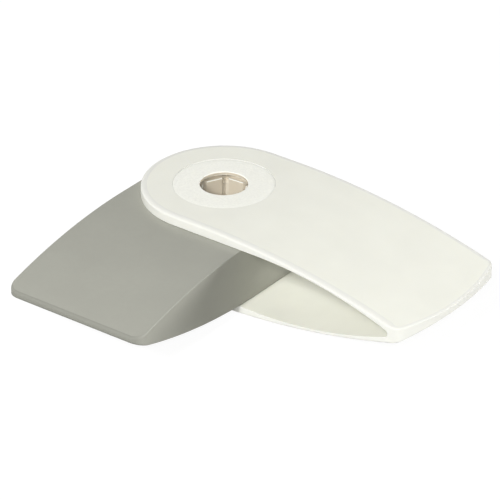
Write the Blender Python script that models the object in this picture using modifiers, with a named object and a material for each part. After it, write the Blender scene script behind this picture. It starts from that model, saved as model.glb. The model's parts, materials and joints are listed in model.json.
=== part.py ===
"""Swivel eraser: a lens-shaped rubber block that turns inside a folded plastic sleeve.

The sleeve is one moulding, two plates joined at a thin nose and open along both sides.
Two flanged caps snap together through the plates and the block, and the block turns on
the upper cap's stem. The caps are hollow, so a ring or a cord can pass through the eye.
Units are metres, +Z is up, and the origin is the bottom centre of the open object's box.
"""

import math

import bmesh
import bpy
from mathutils import Matrix, Vector

# Eraser block
WIDTH = 0.0250             # across the block and the sleeve, and the round end's diameter
ERASER_THICKNESS = 0.0095  # between the block's parallel faces
ERASER_REACH = 0.0362      # pivot axis to the tip
ERASER_FLAT = 0.0085       # the faces stay parallel this far from the pivot axis
ERASER_TIP = 0.00125       # height of the tip
ERASER_CORNER = 0.0020     # the tip's corners, seen from above
ERASER_EDGE = 0.0004       # rounding of the block's edges
OPEN_ANGLE = 90.0          # degrees that the block stands swung out of the sleeve

# Sleeve
PLATE_WALL = 0.00153       # plate thickness at the pivot
PLATE_FLAT = 0.0045        # the outer faces stay flat this far from the pivot axis
NOSE_WALL = 0.0015         # nose thickness at the two ends of the cavity's blind edge
NOSE_HEIGHT = 0.0013       # height of the nose face at its middle
NOSE_CORNER = 0.0016       # the nose's corners, seen from above
CAVITY_END = 0.0006        # radius of the cavity's blind edge
SLEEVE_EDGE = 0.00035      # rounding of the sleeve's outer edges
CAVITY_EDGE = 0.00015      # rounding of the cavity's edges along the open sides

# Snap caps
FLANGE_RADIUS = 0.00772
FLANGE_THICKNESS = 0.0008  # the flange lies flush in the plate
FLANGE_EDGE = 0.00035      # rounding of the flange's rim
EYE_RADIUS = 0.00365       # bore of the upper cap's lip
EYE_EDGE = 0.0002          # rounding where an eye meets its flange
LIP_HEIGHT = 0.0006        # height of the lip above the groove
LIP_LAND = 0.00006         # how far the lip stands in from the flats of the stem's bore
STEM_WALL = 0.0006         # thinnest wall of the stem, at the groove's corners
GROOVE_DEPTH = 0.0004      # snap groove cut into the flats of the stem's bore
FINGERS = 6                # flat fingers in a ring: an even count, because each cut makes two slots
FINGER_WALL = 0.0004
FINGER_DROP = 0.00045      # finger ends below the lip
BEAD_HEIGHT = 0.0005       # snap bead round the finger ends
SLOT_WIDTH = 0.0010        # between two fingers
SLOT_LENGTH = 0.0050       # from the finger ends down
SLOT_ANGLE = 3.7           # degrees from the sleeve's long axis to the first slot
LOWER_EYE_STEP = 0.00015   # how far the lower eye stands in from the fingers' inner faces

# Clearances
SWING_GAP = 0.00012        # block to plate, each side
TIP_GAP = 0.0013           # swept tip corner to the cavity's blind edge
STEM_GAP = 0.0001          # stem to block and to plate
SEAT_GAP = 0.0001          # flange to the floor of its seat
RIM_GAP = 0.00018          # flange to the wall of its seat
RIM_EDGE = 0.0002          # flare of the seat's mouth
FINGER_GAP = 0.00012       # fingers to bore, and bead to the groove's wall
BEAD_GAP = 0.00025         # bead to the groove's foot

# Facets
ROUND_STEPS = 56           # round a turned piece
EDGE_STEPS = 3             # along a rim rounding
BEVEL_STEPS = 2            # along the rounding of a moulded edge
END_STEPS = 15             # round a quarter of a plan's round end
CURVE_STEPS = 12           # along a face's long curve
NOSE_STEPS = 11            # along the nose, odd so that no corner lies on its middle
SMOOTH_ANGLE = math.radians(30)
BEVEL_ANGLE = math.radians(50)
WELD_DISTANCE = 1e-6
SLIVER = 8e-5              # shorter edges are closed up before edges are rounded
OVERCUT = 0.002            # how far a cutter runs past what it cuts

# Sizes that follow
HALF_WIDTH = WIDTH / 2
HALF_BLOCK = ERASER_THICKNESS / 2
HALF_CAVITY = HALF_BLOCK + SWING_GAP
HALF_SLEEVE = HALF_CAVITY + PLATE_WALL
SWEEP_RADIUS = ERASER_CORNER + math.hypot(ERASER_REACH - ERASER_CORNER, HALF_WIDTH - ERASER_CORNER)
CAVITY_REACH = SWEEP_RADIUS + TIP_GAP
CAVITY_FLAT = math.hypot(ERASER_FLAT, HALF_WIDTH)
NOSE_REACH = math.hypot(CAVITY_REACH + NOSE_WALL, HALF_WIDTH)
CORNER = 1 / math.cos(math.pi / FINGERS)  # radius of a ring of flats at its corners, over the flats'
BORE_FLAT = EYE_RADIUS + LIP_LAND
GROOVE_FLAT = BORE_FLAT + GROOVE_DEPTH
STEM_RADIUS = GROOVE_FLAT * CORNER + STEM_WALL
HOLE_RADIUS = STEM_RADIUS + STEM_GAP
SEAT_RADIUS = FLANGE_RADIUS + RIM_GAP
SEAT_DEPTH = FLANGE_THICKNESS + SEAT_GAP
FINGER_FLAT = BORE_FLAT - FINGER_GAP
FINGER_INSIDE = FINGER_FLAT - FINGER_WALL
FINGER_TOP = HALF_SLEEVE - LIP_HEIGHT - FINGER_DROP
LOWER_EYE_RADIUS = FINGER_INSIDE - LOWER_EYE_STEP
PIVOT = Vector((
    (HALF_WIDTH - NOSE_REACH) / 2,
    (ERASER_REACH - HALF_WIDTH) / 2,
    HALF_SLEEVE,
))

# Finishes: linear RGB and roughness
WARM_WHITE = (0.79, 0.79, 0.70, 1.0)
CAP_WHITE = (0.85, 0.85, 0.77, 1.0)
RUBBER_GREY = (0.41, 0.41, 0.355, 1.0)
SLEEVE_ROUGHNESS = 0.38
CAP_ROUGHNESS = 0.55
RUBBER_ROUGHNESS = 0.8


def clear_scene():
    for obj in list(bpy.data.objects):
        bpy.data.objects.remove(obj)


def make_collection(name):
    collection = bpy.data.collections.new(name)
    bpy.context.scene.collection.children.link(collection)
    return collection


def make_material(name, colour, roughness):
    material = bpy.data.materials.new(name)
    material.use_nodes = True
    shader = material.node_tree.nodes["Principled BSDF"]
    shader.inputs["Base Color"].default_value = colour
    shader.inputs["Roughness"].default_value = roughness
    shader.inputs["Metallic"].default_value = 0.0
    return material


def arc(centre, radius, start, end, steps):
    """Points of a circular arc between two angles in degrees, both ends included."""
    angles = [math.radians(start + (end - start) * i / steps) for i in range(steps + 1)]
    return [(centre[0] + radius * math.cos(a), centre[1] + radius * math.sin(a)) for a in angles]


def mirrored(points):
    """The same run reflected in the first axis and walked back."""
    return [(x, -z) for x, z in reversed(points)]


def to_mesh_object(source, collection, hidden):
    """Replaces an object with the mesh that its modifiers or curve make."""
    bpy.context.view_layer.update()
    depsgraph = bpy.context.evaluated_depsgraph_get()
    mesh = bpy.data.meshes.new_from_object(source.evaluated_get(depsgraph))
    mesh.transform(source.matrix_world)
    name = source.name
    bpy.data.objects.remove(source)
    body = bmesh.new()
    body.from_mesh(mesh)
    bmesh.ops.remove_doubles(body, verts=body.verts, dist=WELD_DISTANCE)
    bmesh.ops.recalc_face_normals(body, faces=body.faces)
    body.to_mesh(mesh)
    body.free()
    mesh.name = name
    obj = bpy.data.objects.new(name, mesh)
    collection.objects.link(obj)
    if hidden:
        obj.hide_render = True
        obj.display_type = "WIRE"
    return obj


def prism(name, outline, half_depth, collection, upright=False, hidden=False):
    """A flat outline given thickness: lying in XY, or upright in XZ."""
    curve = bpy.data.curves.new(name, "CURVE")
    curve.dimensions = "2D"
    curve.fill_mode = "BOTH"
    curve.extrude = half_depth
    spline = curve.splines.new("POLY")
    spline.points.add(len(outline) - 1)
    for point, (a, b) in zip(spline.points, outline):
        point.co = (a, b, 0.0, 1.0)
    spline.use_cyclic_u = True
    obj = bpy.data.objects.new(name, curve)
    collection.objects.link(obj)
    if upright:
        obj.rotation_euler.x = math.pi / 2
    return to_mesh_object(obj, collection, hidden)


def turned(name, profile, collection, hidden=False, closed=False, steps=ROUND_STEPS, start=0.0):
    """A profile of (radius, height) points turned about Z. A closed profile leaves a bore."""
    count = len(profile)
    edges = [(i, i + 1) for i in range(count - 1)]
    if closed:
        edges.append((count - 1, 0))
    mesh = bpy.data.meshes.new(name)
    mesh.from_pydata([(r, 0.0, z) for r, z in profile], edges, [])
    obj = bpy.data.objects.new(name, mesh)
    collection.objects.link(obj)
    screw = obj.modifiers.new("Turn", "SCREW")
    screw.axis = "Z"
    screw.steps = steps
    screw.render_steps = steps
    screw.use_merge_vertices = True
    screw.merge_threshold = WELD_DISTANCE
    obj.rotation_euler.z = math.radians(start)
    return to_mesh_object(obj, collection, hidden)


def turned_flat(name, profile, collection, closed=False):
    """A cutter with one flat for each finger. The profile's radii are those of the flats."""
    corners = [(r * CORNER, z) for r, z in profile]
    return turned(name, corners, collection, hidden=True, closed=closed, steps=FINGERS, start=SLOT_ANGLE)


def cut(obj, cutter, operation="DIFFERENCE"):
    modifier = obj.modifiers.new(cutter.name, "BOOLEAN")
    modifier.operation = operation
    modifier.object = cutter
    modifier.solver = "EXACT"


def round_edges(obj, width):
    """Rounds the sharp edges, after slivers that would limit the rounding are closed up."""
    weld = obj.modifiers.new("Close slivers", "WELD")
    weld.merge_threshold = SLIVER
    bevel = obj.modifiers.new("Rounded edges", "BEVEL")
    bevel.width = width
    bevel.segments = BEVEL_STEPS
    bevel.limit_method = "ANGLE"
    bevel.angle_limit = BEVEL_ANGLE
    bevel.use_clamp_overlap = True


def place(obj, material, pivot, swing=0.0):
    """Bakes the shape, gives it its finish and hangs it on the pivot."""
    collection = obj.users_collection[0]
    piece = to_mesh_object(obj, collection, hidden=False)
    piece.data.shade_smooth()
    piece.data.set_sharp_from_angle(angle=SMOOTH_ANGLE)
    piece.data.materials.clear()
    piece.data.materials.append(material)
    piece.parent = pivot
    piece.rotation_euler.z = math.radians(swing)
    return piece


def face_curve(flat, half_height, reach, end_height):
    """Radius of the arc that leaves a flat face at `flat` and is `end_height` high at `reach`."""
    run = reach - flat
    drop = half_height - end_height
    return (run * run + drop * drop) / (2 * drop)


def face_run(flat, half_height, radius, reach):
    """A face from behind the round end, flat and then down the arc until `reach`."""
    points = [(-HALF_WIDTH - OVERCUT, half_height)]
    for i in range(CURVE_STEPS + 1):
        along = (reach - flat) * i / CURVE_STEPS
        points.append((flat + along, half_height - radius + math.sqrt(radius * radius - along * along)))
    return points


def lens_run(flat, half_height, reach, end_height):
    """A face whose arc runs a little past its reach, where a plan cuts it off."""
    radius = face_curve(flat, half_height, reach, end_height)
    return face_run(flat, half_height, radius, reach + end_height / 2)


def cavity_run():
    """The cavity's upper face, to the middle of its blind edge.

    The long arc leaves the flat face level and meets the end circle at a tangent, so the
    two centres lie one radius apart less the other.
    """
    end_x = CAVITY_REACH - CAVITY_END
    run = end_x - CAVITY_FLAT
    spare = HALF_CAVITY - CAVITY_END
    radius = (run * run + HALF_CAVITY * HALF_CAVITY - CAVITY_END * CAVITY_END) / (2 * spare)
    slope = math.degrees(math.asin(run / (radius - CAVITY_END)))
    meet_x = end_x + CAVITY_END * math.sin(math.radians(slope))
    points = face_run(CAVITY_FLAT, HALF_CAVITY, radius, meet_x)
    return points[:-1] + arc((end_x, 0.0), CAVITY_END, 90 - slope, 0, EDGE_STEPS)


def whole_plan(half):
    """Closes a half plan, walked from the front to the middle of the round end."""
    return half + mirrored(half[:-1])


def round_end():
    """The quarter of the round end from the side to the rear."""
    return arc((0.0, 0.0), HALF_WIDTH, 90, 180, END_STEPS)


def sleeve_plan():
    """Nose arc about the pivot, rounded corner, side and round end."""
    corner_y = HALF_WIDTH - NOSE_CORNER
    corner_x = math.sqrt((NOSE_REACH - NOSE_CORNER) ** 2 - corner_y ** 2)
    turn = math.degrees(math.atan2(corner_y, corner_x))
    half_nose = [p for p in arc((0.0, 0.0), NOSE_REACH, -turn, turn, NOSE_STEPS) if p[1] > 0]
    corner = arc((corner_x, corner_y), NOSE_CORNER, turn, 90, 2 * EDGE_STEPS)[1:]
    return whole_plan(half_nose + corner + round_end())


def eraser_plan():
    """Straight tip, rounded corner, side and round end."""
    centre = (ERASER_REACH - ERASER_CORNER, HALF_WIDTH - ERASER_CORNER)
    return whole_plan(arc(centre, ERASER_CORNER, 0, 90, 2 * EDGE_STEPS) + round_end())


def seat_profile():
    """Upper half of the pivot hole: flared mouth, flange seat and stem hole."""
    floor = HALF_SLEEVE - SEAT_DEPTH
    return [
        (0.0, HALF_SLEEVE + OVERCUT),
        (SEAT_RADIUS + RIM_EDGE, HALF_SLEEVE + OVERCUT),
        (SEAT_RADIUS + RIM_EDGE, HALF_SLEEVE),
        (SEAT_RADIUS, HALF_SLEEVE - RIM_EDGE),
        (SEAT_RADIUS, floor),
        (HOLE_RADIUS, floor),
    ]


def flange_rim(outer_face, inner_face):
    """The flange's rim from its rounded outer edge to its square inner edge."""
    turn = math.copysign(1.0, outer_face - inner_face)
    centre = (FLANGE_RADIUS - FLANGE_EDGE, outer_face - turn * FLANGE_EDGE)
    edge = arc(centre, FLANGE_EDGE, turn * 90, 0, EDGE_STEPS)
    return edge + [(FLANGE_RADIUS, inner_face)]


def eye_rim(radius, outer_face):
    """The rounding from a bore out to a flange's outer face."""
    turn = math.copysign(1.0, outer_face)
    centre = (radius + EYE_EDGE, outer_face - turn * EYE_EDGE)
    return arc(centre, EYE_EDGE, 180, 180 - turn * 90, EDGE_STEPS)


def upper_cap_profile():
    """Flange, stem and eye, clockwise from the top of the eye."""
    under = HALF_SLEEVE - FLANGE_THICKNESS
    foot = -HALF_SLEEVE + FLANGE_THICKNESS + SEAT_GAP
    return [
        *eye_rim(EYE_RADIUS, HALF_SLEEVE),
        *flange_rim(HALF_SLEEVE, under),
        (STEM_RADIUS, under),
        (STEM_RADIUS, foot),
        (EYE_RADIUS, foot),
    ]


def stem_bore_profile():
    """The stem's bore with the snap groove, from the lip down past the stem's foot."""
    lip = HALF_SLEEVE - LIP_HEIGHT
    groove_foot = FINGER_TOP - BEAD_HEIGHT - BEAD_GAP
    return [
        (0.0, lip),
        (GROOVE_FLAT, lip),
        (GROOVE_FLAT, groove_foot),
        (BORE_FLAT, groove_foot - GROOVE_DEPTH),
        (BORE_FLAT, -HALF_SLEEVE),
        (0.0, -HALF_SLEEVE),
    ]


def lower_flange_profile():
    """Flange and lower eye, clockwise from the top of the eye."""
    under = -HALF_SLEEVE + FLANGE_THICKNESS
    return [
        (LOWER_EYE_RADIUS, under),
        *reversed(flange_rim(-HALF_SLEEVE, under)),
        *reversed(eye_rim(LOWER_EYE_RADIUS, -HALF_SLEEVE)),
    ]


def finger_profile():
    """Fingers with the snap bead, clockwise from their ends, with their foot inside the flange."""
    foot = -HALF_SLEEVE + FLANGE_THICKNESS / 2
    return [
        (FINGER_INSIDE, FINGER_TOP),
        (FINGER_FLAT, FINGER_TOP),
        (GROOVE_FLAT - FINGER_GAP, FINGER_TOP - BEAD_HEIGHT / 2),
        (FINGER_FLAT, FINGER_TOP - BEAD_HEIGHT),
        (FINGER_FLAT, foot),
        (FINGER_INSIDE, foot),
    ]


def build_sleeve(parts, cutters):
    face = lens_run(PLATE_FLAT, HALF_SLEEVE, NOSE_REACH, NOSE_HEIGHT / 2)
    across = HALF_WIDTH + OVERCUT
    sleeve = prism("sleeve", face + mirrored(face), across, parts, upright=True)
    plan = prism("sleeve_outline", sleeve_plan(), HALF_SLEEVE + OVERCUT, cutters, hidden=True)
    cut(sleeve, plan, "INTERSECT")
    round_edges(sleeve, SLEEVE_EDGE)
    inside = cavity_run()
    section = inside + mirrored(inside[:-1])
    cut(sleeve, prism("cavity", section, across, cutters, upright=True, hidden=True))
    round_edges(sleeve, CAVITY_EDGE)
    seat = seat_profile()
    cut(sleeve, turned("pivot_hole", seat + mirrored(seat), cutters, hidden=True))
    return sleeve


def build_eraser(parts, cutters):
    face = lens_run(ERASER_FLAT, HALF_BLOCK, ERASER_REACH, ERASER_TIP / 2)
    block = prism("eraser_block", face + mirrored(face), HALF_WIDTH + OVERCUT, parts, upright=True)
    plan = prism("eraser_outline", eraser_plan(), HALF_BLOCK + OVERCUT, cutters, hidden=True)
    cut(block, plan, "INTERSECT")
    round_edges(block, ERASER_EDGE)
    ends = HALF_BLOCK + OVERCUT
    bore = [(0.0, ends), (HOLE_RADIUS, ends), (HOLE_RADIUS, -ends), (0.0, -ends)]
    cut(block, turned("eraser_bore", bore, cutters, hidden=True))
    return block


def build_upper_cap(parts, cutters):
    cap = turned("upper_snap_cap", upper_cap_profile(), parts, closed=True)
    cut(cap, turned_flat("stem_bore", stem_bore_profile(), cutters))
    return cap


def build_lower_cap(parts, cutters):
    cap = turned("lower_snap_cap", lower_flange_profile(), parts, closed=True)
    cut(cap, turned_flat("finger_ring", finger_profile(), cutters, closed=True), "UNION")
    spread = 2 * GROOVE_FLAT * CORNER + OVERCUT
    height = SLOT_LENGTH + OVERCUT
    for i in range(FINGERS // 2):
        bpy.ops.mesh.primitive_cube_add(size=1.0)
        slot = bpy.context.object
        slot.name = f"finger_slot_{i + 1}"
        slot.data.transform(Matrix.Diagonal((spread, SLOT_WIDTH, height, 1.0)))
        slot.location.z = FINGER_TOP - SLOT_LENGTH + height / 2
        slot.rotation_euler.z = math.radians(SLOT_ANGLE + 360 / FINGERS * i)
        for collection in list(slot.users_collection):
            collection.objects.unlink(slot)
        cutters.objects.link(slot)
        cut(cap, to_mesh_object(slot, cutters, hidden=True))
    return cap


def main():
    clear_scene()
    parts = make_collection("swivel_eraser")
    cutters = make_collection("cutters")
    pivot = bpy.data.objects.new("pivot", None)
    pivot.location = PIVOT
    parts.objects.link(pivot)

    white = make_material("sleeve_plastic", WARM_WHITE, SLEEVE_ROUGHNESS)
    cap_white = make_material("cap_plastic", CAP_WHITE, CAP_ROUGHNESS)
    grey = make_material("eraser_rubber", RUBBER_GREY, RUBBER_ROUGHNESS)

    place(build_sleeve(parts, cutters), white, pivot)
    place(build_eraser(parts, cutters), grey, pivot, -OPEN_ANGLE)
    place(build_upper_cap(parts, cutters), cap_white, pivot)
    place(build_lower_cap(parts, cutters), cap_white, pivot)


main()
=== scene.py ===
"""Finished surfaces of a swivel eraser, laid out as an add-on and run as a script.

A lens-shaped rubber block turns inside a folded plastic sleeve, on two flanged caps that snap
together through the pivot. Every surface is a numpy grid about the pivot: x runs along the piece
from the pivot, y across it and z up from the middle plane. Lengths are metres.
"""

import json
import math
from typing import NamedTuple

import bmesh
import bpy
import numpy as np
from bpy.props import FloatProperty, FloatVectorProperty, IntProperty, PointerProperty
from bpy.types import Operator, Panel, PropertyGroup
from mathutils import Euler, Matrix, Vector


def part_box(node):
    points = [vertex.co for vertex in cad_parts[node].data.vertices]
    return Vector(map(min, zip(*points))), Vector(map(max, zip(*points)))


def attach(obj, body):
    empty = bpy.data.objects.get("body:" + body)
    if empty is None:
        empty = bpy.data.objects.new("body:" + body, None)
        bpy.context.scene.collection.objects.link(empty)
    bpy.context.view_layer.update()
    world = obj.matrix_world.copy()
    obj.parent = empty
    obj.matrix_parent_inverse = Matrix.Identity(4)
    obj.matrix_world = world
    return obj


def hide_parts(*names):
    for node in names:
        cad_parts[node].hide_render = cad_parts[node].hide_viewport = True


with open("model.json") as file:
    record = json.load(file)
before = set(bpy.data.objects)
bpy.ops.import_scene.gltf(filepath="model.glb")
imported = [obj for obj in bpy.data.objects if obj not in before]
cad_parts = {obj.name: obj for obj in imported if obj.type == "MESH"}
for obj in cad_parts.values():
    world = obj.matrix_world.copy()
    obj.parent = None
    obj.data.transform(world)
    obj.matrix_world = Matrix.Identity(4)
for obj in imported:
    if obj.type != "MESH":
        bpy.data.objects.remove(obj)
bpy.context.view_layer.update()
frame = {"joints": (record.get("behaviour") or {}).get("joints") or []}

bl_info = {
    "name": "Swivel Sleeve Eraser",
    "version": (1, 0, 0),
    "blender": (4, 5, 0),
    "location": "3D View > Sidebar > Eraser",
    "description": "Builds the finished pieces of a swivel eraser on its packed frame, and a studio stage",
    "category": "Add Mesh",
}

# Bodies of the frame
SLEEVE_BODY = "sleeve"
ERASER_BODY = "eraser"

# Places and sizes that the frame gives, from the pivot
PIVOT = np.array(next(j["pos_m"] for j in frame["joints"] if j["name"] == "eraser_swing"))
SLEEVE_HIGH = np.array(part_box("sleeve")[1]) - PIVOT
BLOCK_LOW = np.array(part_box("eraser_block")[0]) - PIVOT
BLOCK_HIGH = np.array(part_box("eraser_block")[1]) - PIVOT
UPPER_CAP_LOW = np.array(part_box("upper_snap_cap")[0]) - PIVOT
UPPER_CAP_HIGH = np.array(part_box("upper_snap_cap")[1]) - PIVOT
LOWER_CAP_HIGH = np.array(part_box("lower_snap_cap")[1]) - PIVOT

# Columns and rows of the grids
NOSE_COLUMNS = 16
CORNER_COLUMNS = 9
BLIND_COLUMNS = 9
LONG_COLUMNS = 28
LEVEL_COLUMNS = 12
END_COLUMNS = 30
TIP_COLUMNS = 12
FACE_ROWS = 44
CEILING_ROWS = 54
BORDER_ROWS = 4
ROUND_ROWS = 7
ROLL_ROWS = 12
FLANGE_ROWS = 10
WALL_ROWS = 8
SHORT_ROWS = 2
FINGER_COLUMNS = 32
SLOT_COLUMNS = 8

QUARTER = math.pi / 2
EVENING = 0.35         # how far the angles round the pivot are evened out, 0 to 1
BORDER = 1.1           # the plates' borders start this many roll-off widths inside the plan
CROWDING = 1.5         # how strongly the side's columns crowd towards the cavity's blind edge
MERGE_DISTANCE = 2e-7
SHARP_ANGLE = math.radians(38)

# Name of the mark on each point: 0 in a piece's main finish and 1 in its second one: painted shade on
# the sleeve's smooth rims, in the caps' bore (a darker beige) and on the block's tip
MARK = "mark"
SLOT_MARK = 0.85       # the slots between the fingers get little light, so they are a lighter beige

NOISE_SPAN = (0.3, 0.7)    # where a noise mostly lies
WHOLE_SPAN = (0.0, 1.0)

# Sizes of the finishes' noise, and depths of their bump
SLEEVE_CLOUDS = 0.006
SLEEVE_GRAIN = 0.00011
SLEEVE_BUMP = 0.00002
CAP_CLOUDS = 0.002
CAP_GRAIN = 0.0003
CAP_BUMP = 0.00003
RUBBER_CLOUDS = 0.008
RUBBER_MOTTLE = 0.0007
RUBBER_POWDER = 0.00013
RUBBER_BUMP = 0.00004

# Strength of the bump: where the mark is 0, and where it is 1
SLEEVE_BUMP_STRENGTH = (0.22, 0.03)
CAP_BUMP_STRENGTH = (0.45, 0.05)
RUBBER_BUMP_STRENGTH = 0.35
MOTTLE_HEIGHT = 0.6    # height of the rubber's mottle over that of its powder

# Tints of the base colours, as factors, and how much of the second layer shows at most
SLEEVE_TINTS = (0.985, 1.015)
CAP_TINTS = (0.93, 1.06)
CAP_CLOUD_TINT = 0.99
CAP_CLOUD_SHARE = 0.5
RUBBER_TINTS = (0.97, 1.03)
MOTTLE_TINT = 0.95
MOTTLE_SHARE = 0.35
# Painted shade: the block's tip is darker by this factor
TIP_SHADE_TINT = 0.72

# How far the roughness varies to each side
SLEEVE_ROUGHNESS_REACH = 0.05
CAP_ROUGHNESS_REACH = 0.08
RUBBER_ROUGHNESS_REACH = 0.08

# Refraction, gloss, and light under the plastics' skin
PLASTIC_IOR = 1.49
RUBBER_IOR = 1.52
SPECULAR_LEVEL = 0.25
SUBSURFACE = 0.12
SUBSURFACE_RADIUS = (1.0, 0.95, 0.8)
SUBSURFACE_SCALE = 0.0006

WHITE = (1.0, 1.0, 1.0, 1.0)
FLOOR_WHITE = 1.05     # how bright the lit floor looks, just past white
SENSOR_WIDTH = 36.0    # millimetres

# Places of the lamps: azimuth from the sleeve's near side towards the nose, and elevation, in degrees
LAMP_PLACES = {
    "key": (5.0, 38.0),
    "front": (37.0, 31.0),
    "side": (121.0, 3.5),
    "fill": (-90.0, 30.0),
    "back": (200.0, 22.0),
}


def length(name, description, default):
    """A length property."""
    return FloatProperty(
        name=name, description=description, default=default, min=0.0, unit="LENGTH", precision=5
    )


def angle(name, description, default):
    """An angle property, given in degrees."""
    return FloatProperty(
        name=name, description=description, default=math.radians(default), subtype="ANGLE"
    )


def colour(name, description, default):
    """A linear colour property."""
    return FloatVectorProperty(
        name=name,
        description=description,
        default=(*default, 1.0),
        size=4,
        min=0.0,
        max=1.0,
        subtype="COLOR",
    )


def share(name, description, default):
    """A property between 0 and 1."""
    return FloatProperty(
        name=name, description=description, default=default, min=0.0, max=1.0, subtype="FACTOR"
    )


def power(name, description, default):
    """A lamp's power property."""
    return FloatProperty(name=name, description=description, default=default, min=0.0, unit="POWER")


def lamp_size(name, width, height):
    """A lamp's size property."""
    return FloatVectorProperty(
        name=name, description="Width and height", default=(width, height), size=2, min=0.0, unit="LENGTH"
    )


class BlockSizes(PropertyGroup):
    """Sizes of the rubber block."""

    half_width: length("Half width", "Middle plane to the block's side", BLOCK_HIGH[0])
    half_height: length("Half thickness", "Middle plane to the block's face", BLOCK_HIGH[2])
    reach: length("Reach", "Pivot axis to the tip", -BLOCK_LOW[1])
    level: length("Level part", "The faces stay parallel this far from the pivot axis", 0.0085)
    tip: length("Tip height", "Height of the tip's face", 0.00105)
    corner: length("Tip corner", "Radius of the tip's corners, seen from above", 0.0020)
    edge: length("Edge", "Rounding of the block's edges", 0.00015)
    tip_edge: length("Tip edge", "Rounding of the edges across the tip", 0.0006)
    bore_edge: length("Bore edge", "Rounding where the bore meets the faces", 0.0002)


class SleeveSizes(PropertyGroup):
    """Sizes of the folded sleeve."""

    half_width: length("Half width", "Middle plane to the sleeve's side", SLEEVE_HIGH[1])
    half_height: length("Half thickness", "Middle plane to the sleeve's face", SLEEVE_HIGH[2])
    reach: length("Reach", "Pivot axis to the nose", SLEEVE_HIGH[0])
    level: length("Level part", "The faces stay flat this far from the pivot axis", 0.0045)
    nose: length("Nose height", "Height of the nose's face at its middle", 0.0013)
    corner: length("Nose corner", "Radius of the nose's corners, seen from above", 0.0016)
    roll_width: length("Roll-off width", "How far in from the side the faces start to roll off", 0.0010)
    roll_drop: length("Roll-off drop", "How far the roll-off falls to the upright side", 0.0004)
    blind_radius: length("Blind edge", "Radius of the cavity's closed edge", 0.0006)
    cavity_edge: length("Cavity edge", "Rounding of the cavity's edges along the open sides", 0.00005)
    seat_edge: length("Seat edge", "Rounding of the flange seat's mouth", 0.00003)


class CapSizes(PropertyGroup):
    """Sizes of the two snap caps."""

    flange_radius: length("Flange radius", "Pivot axis to the flange's rim", UPPER_CAP_HIGH[0])
    flange: length("Flange thickness", "Outer to inner face of a flange", 0.0008)
    flange_edge: length("Flange edge", "Rounding of the flange's rim", 0.00007)
    roll_width: length("Roll-off width", "How far in from the rim the flange's face rolls off", 0.0010)
    roll_drop: length("Roll-off drop", "How far the flange's face falls to its rim", 0.00005)
    eye_radius: length("Eye radius", "Bore of the upper cap's lip", 0.00365)
    eye_edge: length("Eye edge", "Rounding where an eye meets its flange", 0.00012)
    lip: length("Lip height", "Height of the lip over the snap groove", 0.0006)
    land: length("Lip land", "How far the lip stands in from the flats of the stem's bore", 0.00006)
    stem_wall: length("Stem wall", "Thinnest wall of the stem, at the groove's corners", 0.0006)
    groove: length("Groove depth", "Depth of the snap groove in the bore's flats", 0.0004)
    fingers: IntProperty(name="Fingers", description="Number of flat snap fingers", default=6, min=3)
    finger_wall: length("Finger wall", "Wall of the lower cap's fingers", 0.0004)
    bead: length("Bead height", "Height of the snap bead round the finger ends", 0.0005)
    slot_width: length("Slot width", "Gap between two fingers", 0.0010)
    slot_length: length("Slot length", "Finger ends to the foot of the slots", 0.0050)
    slot_angle: angle("Slot angle", "Sleeve's long axis to the first slot", 3.7)
    lower_step: length("Lower eye step", "How far the lower eye stands in from the fingers", 0.00015)
    burr: length("Broken edge", "Rounding of the small edges inside the eye", 0.00007)


class Clearances(PropertyGroup):
    """Gaps between the pieces."""

    swing: length("Swing gap", "Block to plate, each side", 0.00003)
    tip: length("Tip gap", "Swept tip corner to the cavity's blind edge", 0.0013)
    stem: length("Stem gap", "Stem to block and to plate", 0.0001)
    seat: length("Seat gap", "Flange to the floor of its seat", 0.0001)
    rim: length("Rim gap", "Flange to the wall of its seat", 0.00001)
    finger: length("Finger gap", "Fingers to bore, and bead to the groove's wall", 0.00012)
    bead: length("Bead gap", "Bead to the groove's foot", 0.00025)


class Finishes(PropertyGroup):
    """Colours and gloss of the three finishes."""

    sleeve: colour("Sleeve", "Warm white of the sleeve's grained plates", (0.83, 0.83, 0.75))
    # Painted shade: the rims are a darker copy of the plates' white, which tones down their lit edges
    shaded_sleeve_rim: colour("Sleeve rims", "The sleeve's smooth rims", (0.765, 0.765, 0.714))
    cap: colour("Caps", "Warm white of the caps", (0.92, 0.92, 0.845))
    # Painted shade: the darker, warmer beige of the insides stands for the shade inside the bore
    bore: colour("Cap bore", "Beige of the caps' insides, which light hardly reaches", (0.64, 0.575, 0.46))
    rubber: colour("Rubber", "Grey of the block", (0.365, 0.365, 0.319))
    sleeve_roughness: share("Sleeve roughness", "Roughness of the grained plates", 0.6)
    rim_roughness: share("Rim roughness", "Roughness of the smooth rims", 0.5)
    cap_roughness: share("Cap roughness", "Roughness of the caps", 0.7)
    rubber_roughness: share("Rubber roughness", "Roughness of the block", 0.86)


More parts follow.
